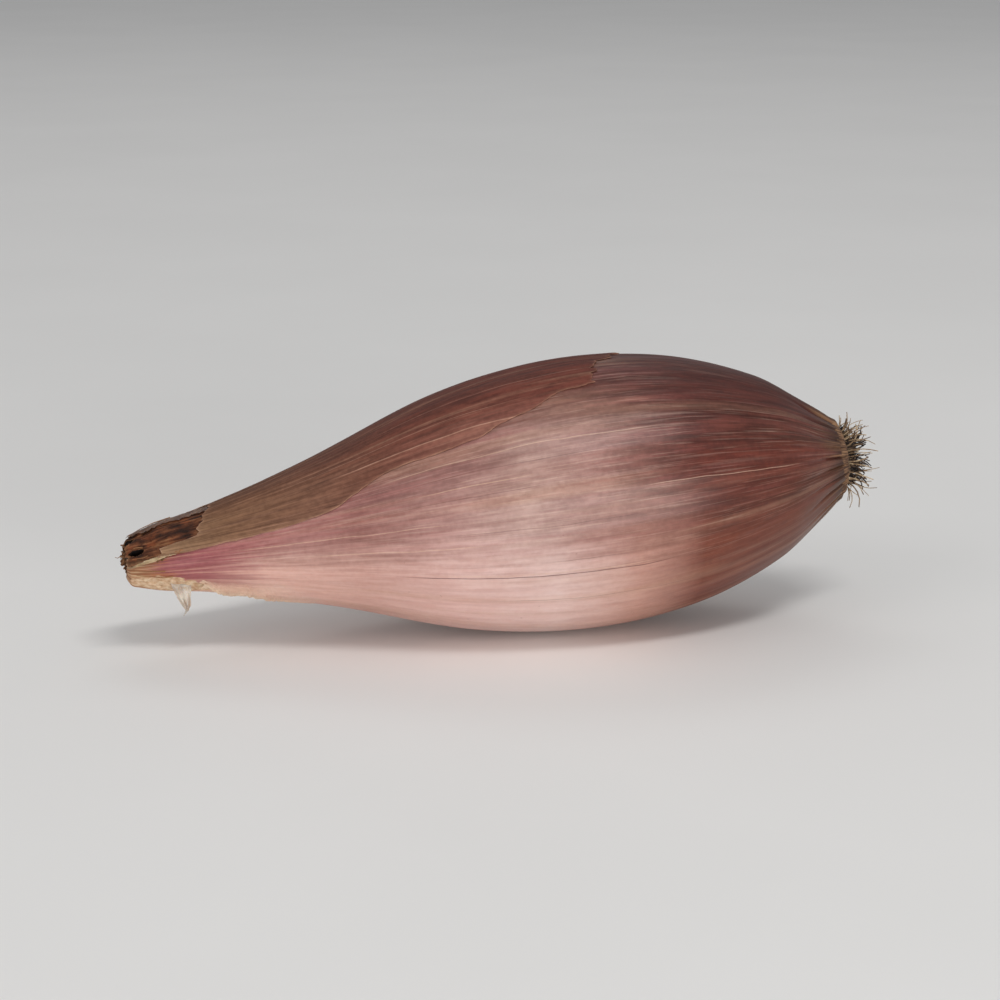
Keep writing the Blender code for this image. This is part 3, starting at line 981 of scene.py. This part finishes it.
def bulb_sheet(
    name, size, along, around, ragged, lift, thickness, material, seed, edge=0.2, holed=False
):
    """A small torn sheet on the bulb.

    It runs between two shares along and two edges around, each a row of shares and angles. Its neck
    end, root end, low side and high side are torn by so many mm, and it stands lift(u, v) mm off.
    """
    obj, u, v = flat_grid(*size)
    to_share = MM / LENGTH
    first = along[0] - teeth(v, seed, ragged[0] * to_share)
    last = along[1] + teeth(v, seed + 5, ragged[1] * to_share)
    share = np.clip(first + (last - first) * u, *SHEET_SHARES)
    radius = np.maximum(RADIUS * hermite(OUTLINE, share), SHEET_LEAST_RADIUS)
    tears = u * (along[1] - along[0]) * LENGTH / MM / TOOTH_ROW
    low = runs(around[0], share) - np.degrees(teeth(tears, seed + 8, ragged[2] * MM) / radius)
    high = runs(around[1], share) + np.degrees(teeth(tears, seed + 11, ragged[3] * MM) / radius)
    angle = low + (high - low) * v
    gaps = (
        (share - first) * LENGTH,
        (last - share) * LENGTH,
        np.radians(angle - low) * radius,
        np.radians(high - angle) * radius,
    )
    gaps = [np.maximum(gap / MM, 0) for gap, torn in zip(gaps, ragged) if torn]
    inside = pits(share, angle)[0] if holed else np.zeros(share.shape)
    height = lift(u, v) + 0.05 * grain(share * 60, v * 12, 0, seed + 1) + 0.15 * inside
    put(obj, on_bulb(share, angle, height * MM))
    mark(obj, "torn", np.maximum(np.exp(-np.min(gaps, axis=0) / edge), ease(inside, 0.12, 0.4) * 0.7))
    if holed:
        open_up(obj, inside > 0.5)
    thicken(obj, thickness)
    ready(smooth(obj), name, material)


# The neck


def make_neck_layer(material):
    """The dried brown layer that wraps the neck, open over its hollows."""

    def lift(u, v):
        curl = 0.20 * grain(u * 4, v * 15, 0, 3.0) + 0.07 * grain(u * 11, v * 36, 0, 8.0)
        return 0.20 - 0.20 * u + curl * (1 - u)

    low = ((0, 0), (0.05, 1), (0.08, 9), (0.14, 15))
    high = ((0, 174),)
    bulb_sheet(
        "neck_layer", (130, 150), (0.004, 0.140), (low, high), (0.5, 0.4, 0.4, 0.5), lift,
        0.07, material, 12.0, holed=True,
    )


def make_cream_strip(material):
    """The narrow pale strip between the brown layer and the pink skin."""
    low = ((0.008, -12), (0.02, -8), (0.035, -3.5), (0.05, 0), (0.066, 3.5))
    high = ((0.008, -9), (0.02, -1), (0.035, 3), (0.05, 5), (0.066, 4.5))
    bulb_sheet(
        "cream_strip", (90, 14), (0.008, 0.066), (low, high), (0.4, 0.3, 0.12, 0.12),
        lambda u, v: 0.24 + 0.08 * v, 0.05, material, 71.0,
    )


def make_neck_film(material):
    """The thin film that stands off the top of the neck."""
    bulb_sheet(
        "neck_film", (70, 40), (0.015, 0.125), (((0, 66),), ((0, 118),)), (0.5, 0.4, 0.4, 0.5),
        lambda u, v: 0.34 - 0.16 * u + 0.22 * (1 - v) * (1 - u), 0.04, material, 31.0,
    )


def make_lower_leaf(material):
    """The torn lower edge of the pink skin behind the cut."""

    def lift(u, v):
        standing_off = 0.45 * ease(v, 0.9, 0.0) * ease(u, 0.9, 0.3)
        return standing_off - 0.12 * ease(v, 0.5, 1.0) - 0.3 * ease(u, 0.5, 1.0)

    low = ((0.10, -52), (0.112, -64), (0.13, -74), (0.17, -80), (0.22, -86), (0.30, -92))
    high = ((0, -44),)
    bulb_sheet(
        "lower_leaf", (220, 60), (0.100, 0.30), (low, high), (0.5, 0.0, 0.9, 0.0), lift,
        0.08, material, 44.0, edge=0.7,
    )


def rolled_leaf(name, radius, inner, outer, sweep, turn, flare, material, seed, node=None):
    """A dried leaf rolled about the neck's own axis, ragged where it stands out. Sizes in mm."""
    obj, u, v = flat_grid(22, 72)
    ragged = outer * (1 + 0.35 * grain(v * 9, seed, 0)) + 0.2 * grain(v * 30, seed, 0)
    along = inner - (inner + ragged) * u
    turned = np.radians(turn + sweep * (v - 0.5))
    out = ease(along, 0.6, -0.8)
    uneven = 0.12 * np.cos(2 * turned + seed) + 0.10 * grain(v * 6, u * 2, 0, seed)
    size = radius * (1 + flare * out + uneven + 0.105 * v)
    put(obj, laid_out(
        in_neck(0, LEAVES_ABOVE_AXIS, 0),
        (along, AXIS), (np.cos(turned) * size, FRONT), (np.sin(turned) * size, UP),
    ))
    mark(obj, "torn", np.exp(-(1 - u) * (inner + outer) / 0.25))
    thicken(obj, 0.13)
    ready(smooth(obj), name, material, node)


def make_shred(material):
    """The white shred of leaf that hangs from the cut, folded lengthwise and bent back at its tail."""
    along = (AXIS * math.cos(CUT_SLOPE) + CUT_BELOW * math.sin(CUT_SLOPE)).normalized()
    side = along.cross(CUT_INWARD)
    foot = CUT_START + along * 6.7 * MM
    down = (Vector((0, 0, -1)) * 0.85 - CUT_INWARD * 0.15).normalized()
    obj, u, v = flat_grid(90, 30)
    hidden, length = 0.8, 3.8
    depth = -hidden + (hidden + length) * u
    out = np.clip(depth / length, 0, 1)
    widths = ((0, 2.5), (0.2, 2.1), (0.5, 1.6), (0.72, 1.15), (0.80, 0.66), (0.9, 0.42), (1, 0.06))
    width = runs(widths, out)
    middle = runs(((0, 0), (0.45, 0.35), (0.74, 0.72), (0.84, 0.70), (1, 0.28)), out)
    w = v - 0.5
    folds = 0.26 * np.abs(np.sin(w * 8.2 + 0.5)) + 0.10 * np.sin(w * 17)
    folds = folds * (0.35 + 0.9 * out) * np.clip(width / 1.4, 0.2, 1)
    ripple = 0.10 * grain(u * 9, v * 3, 0, 2.0) + 0.04 * grain(u * 22, v * 8, 0, 6.0)
    twist = out**1.5
    rim = 0.06 * grain(u * 26, 0, np.sign(w), 3.0) * np.abs(w) * 2
    x = w * (width + rim) * np.cos(twist) + middle
    y = w * width * np.sin(twist) * 0.7 + folds + ripple + 0.30 * np.sin(3 * out)
    put(obj, laid_out(foot, (x, along), (y, side), (depth, down)))
    thicken(obj, 0.07)
    ready(smooth(obj), "white_shred", material, "leaf_shred")


def strands(name, lines):
    """Fine strands as one mesh, each from its points and its thickness in mm, and tapered to its end."""
    base = 0.1
    curve = bpy.data.curves.new(name, "CURVE")
    curve.dimensions = "3D"
    curve.bevel_depth = base * MM
    curve.bevel_resolution = 1
    curve.use_fill_caps = True
    for points, thickness in lines:
        line = curve.splines.new("POLY")
        line.points.add(len(points) - 1)
        for i, point in enumerate(points):
            line.points[i].co = (*point, 1)
            line.points[i].radius = thickness / base * (1 - 0.5 * i / (len(points) - 1))
    obj = bpy.data.objects.new(name, curve)
    bpy.context.scene.collection.objects.link(obj)
    bare()
    obj.select_set(True)
    bpy.context.view_layer.objects.active = obj
    bpy.ops.object.convert(target="MESH")
    return smooth(bpy.context.active_object)


def make_threads(material):
    """Loose threads of dried leaf at the neck: mm along, degrees and mm off the skin."""
    on_skin_places = (
        ((4.4, 3, 0.20), (3.6, 1, 0.22), (2.8, -2, 0.22), (1.8, -6, 0.24)),
        ((5.6, -33, 0.10), (4.4, -34, 0.2), (3.0, -31, 0.2), (1.4, -29, 0.2)),
        ((4.8, -22, 0.10), (3.6, -20, 0.2), (2.2, -19, 0.2), (0.9, -16, 0.25)),
        ((3.6, 12, 0.15), (2.4, 8, 0.25), (1.2, 9, 0.25), (0.3, 12, 0.2)),
        ((2.6, 30, 0.15), (1.8, 33, 0.3), (0.8, 36, 0.3), (0.1, 46, 0.3)),
        ((6.5, 96, 0.4), (4.4, 92, 0.5), (2.8, 97, 0.5), (1.4, 94, 0.4)),
    )
    lines = []
    for places in on_skin_places:
        points = [
            on_bulb(np.array(s * MM / LENGTH), np.array(float(a)), lift * MM) for s, a, lift in places
        ]
        lines.append((points, 0.07))
    free = ((0.5, 0.9, 0.9), (-0.2, 1.0, 1.0), (-0.5, 0.9, 1.2), (-0.8, 1.05, 1.25))
    lines.append(([in_neck(*place) for place in free], 0.06))
    obj = strands("threads", lines)
    mark(obj, "torn", np.ones(len(obj.data.vertices)))
    ready(obj, "neck_threads", material)


# The roots


def make_root_disc(material):
    """The corky plate that the roots grow from."""
    bare()
    bpy.ops.mesh.primitive_uv_sphere_add(segments=96, ring_count=48, radius=1)
    obj = bpy.context.active_object
    ball = own(obj)
    lumps = 0.06 * grain(*(ball * 3).T) + 0.04 * grain(*(ball * 9).T, 4.0)
    across, aside, along = (ball * (1 + lumps)[:, None]).T
    half_thickness = 1.15
    round_it = ((across * PLATE_RADIUS, UP), (aside * PLATE_RADIUS, FRONT))
    put(obj, laid_out(PLATE_MIDDLE, (along * half_thickness, AXIS), *round_it))
    ready(smooth(obj), "root_disc", material, "root_plate")


def make_root_collar(material):
    """The torn, fibrous end of the skins round the root plate."""

    def lift(u, v):
        return -0.12 + 0.28 * u + 0.08 * grain(u * 3, v * 60, 0, 2.0) * u

    bulb_sheet(
        "root_collar", (30, 340), (0.976, 0.9925), (((0, -180),), ((0, 180),)), (0, 0.9, 0, 0), lift,
        0.06, material, 57.0,
    )


def make_roots(name, count, lengths, thickness, spread, reaches, material, seed):
    """A tuft of dry trimmed roots. Sizes in mm."""
    draw = random.Random(seed)
    steps = 6
    lines = []
    for number in range(count):
        reach = reaches[0] + (reaches[1] - reaches[0]) * math.sqrt((number + 0.5) / count)
        turn = number * GOLDEN_ANGLE + draw.uniform(-0.3, 0.3)
        out = UP * math.cos(turn) + FRONT * math.sin(turn)
        beside = AXIS.cross(out)
        bulge = PLATE_BULGE * (1 - (reach / PLATE_RADIUS) ** 2)
        foot = PLATE_MIDDLE + out * reach * MM + AXIS * bulge * MM
        length = draw.uniform(*lengths) * MM
        lean = spread * reach / 3.0 * draw.uniform(0.5, 1.1)
        bend = draw.uniform(-0.5, 0.5)
        curl = draw.uniform(-0.7, 0.5)
        points = []
        for step in range(steps):
            t = step / (steps - 1)
            lean_here = lean * (0.6 + 0.4 * t) + curl * t * t
            forward = AXIS * math.cos(lean_here) + out * math.sin(lean_here) + beside * bend * t
            points.append(foot + forward * length * t)
        lines.append((points, draw.uniform(*thickness)))
    ready(strands(name, lines), name, material)


# The table, the lights and the camera


def make_table(material):
    """The table that it lies on."""
    bare()
    bpy.ops.mesh.primitive_plane_add(size=4)
    obj = bpy.context.active_object
    obj.name = "table"
    obj.data.materials.append(material)


def aim(name, data, azimuth, elevation, distance, height):
    """Places a lamp or camera so that it faces a point at this height over the middle of the table."""
    obj = bpy.data.objects.new(name, data)
    bpy.context.scene.collection.objects.link(obj)
    a, e = math.radians(azimuth), math.radians(elevation)
    towards = Vector((math.sin(a) * math.cos(e), -math.cos(a) * math.cos(e), math.sin(e)))
    obj.location = Vector((0, 0, height)) + towards * distance
    obj.rotation_euler = towards.to_track_quat("Z", "Y").to_euler()
    return obj


def softbox(name, azimuth, elevation, distance, size, power):
    """A rectangular lamp that faces the shallot from this side."""
    lamp = bpy.data.lights.new(name, "AREA")
    lamp.shape = "RECTANGLE"
    lamp.size, lamp.size_y = size
    lamp.energy = power
    aim(name, lamp, azimuth, elevation, distance, 0.015)


def light_and_camera():
    """Soft studio light, and the camera a little above the table."""
    softbox("front_light", 8, 7, 0.9, (0.8, 0.16), 4.0)
    softbox("high_light", 16, 60, 0.8, (0.40, 0.12), 1.95)
    softbox("left_light", -60, 30, 1.0, (0.5, 0.5), 1.2)
    softbox("back_light", 172, 50, 1.0, (0.6, 0.3), 0.8)
    scene = bpy.context.scene
    scene.world = bpy.data.worlds.new("studio")
    scene.world.use_nodes = True
    background = scene.world.node_tree.nodes["Background"].inputs
    background["Color"].default_value = (0.95, 0.97, 1, 1)
    background["Strength"].default_value = 0.38
    scene.view_settings.view_transform = "Standard"

    scene.camera = aim("camera", bpy.data.cameras.new("camera"), -12, 15, 0.31, 0.0165)
    scene.camera.data.lens = 90
    scene.camera.data.clip_start = 0.01


def main():
    pink = pink_skin()
    papery = dry_skin()
    brown_tones = ((38, 20, 12), (72, 38, 22), (103, 61, 38), (140, 98, 66))
    brown = dried_leaf("brown_leaf", brown_tones, (122, 62, 34))
    tawny_tones = ((40, 22, 14), (98, 58, 34), (140, 94, 60), (176, 138, 100))
    tawny = dried_leaf("tawny_leaf", tawny_tones, (150, 86, 48))
    cream = pale_leaf("cream_leaf", (150, 104, 66), (204, 172, 132), 1.0)
    membrane = pale_leaf("neck_membrane", (84, 54, 42), (140, 102, 82), 0.85)
    make_bulb(pink)
    make_skin(papery)
    make_neck_layer(brown)
    make_cream_strip(cream)
    make_neck_film(membrane)
    make_lower_leaf(pink)
    rolled_leaf("neck_leaf_outer", 1.62, 2.4, -0.35, 300, 215, 0.03, tawny, 2.0, "neck_core")
    rolled_leaf("neck_leaf_middle", 1.08, 2.2, -0.20, 300, 60, 0.06, tawny, 7.0)
    rolled_leaf("neck_leaf_inner", 0.55, 2.0, 0.05, 320, 300, 0.10, tawny, 11.0)
    make_threads(tawny)
    make_shred(pale_leaf("white_leaf", (176, 150, 134), (220, 204, 188), 0.94))
    make_root_disc(corky("root_cork", (24, 17, 13), (62, 44, 32), (140, 112, 84), 1.2))
    make_root_collar(corky("collar_fibre", (28, 18, 13), (74, 48, 33), (138, 104, 74), 0.7, 0.75))
    dark = corky("dark_root", (18, 14, 12), (44, 32, 25), (98, 76, 58), 0.8)
    light = corky("pale_root", (84, 62, 44), (138, 110, 82), (186, 162, 130), 0.8)
    make_roots("short_roots", 170, (0.5, 1.7), (0.09, 0.16), 0.9, (0.1, 3.3), dark, 41)
    make_roots("dark_roots", 100, (1.2, 3.2), (0.09, 0.17), 0.95, (0.2, 3.1), dark, 5)
    make_roots("pale_roots", 100, (1.0, 4.0), (0.06, 0.12), 1.0, (1.6, 3.5), light, 23)
    make_table(table_top())
    light_and_camera()


main()
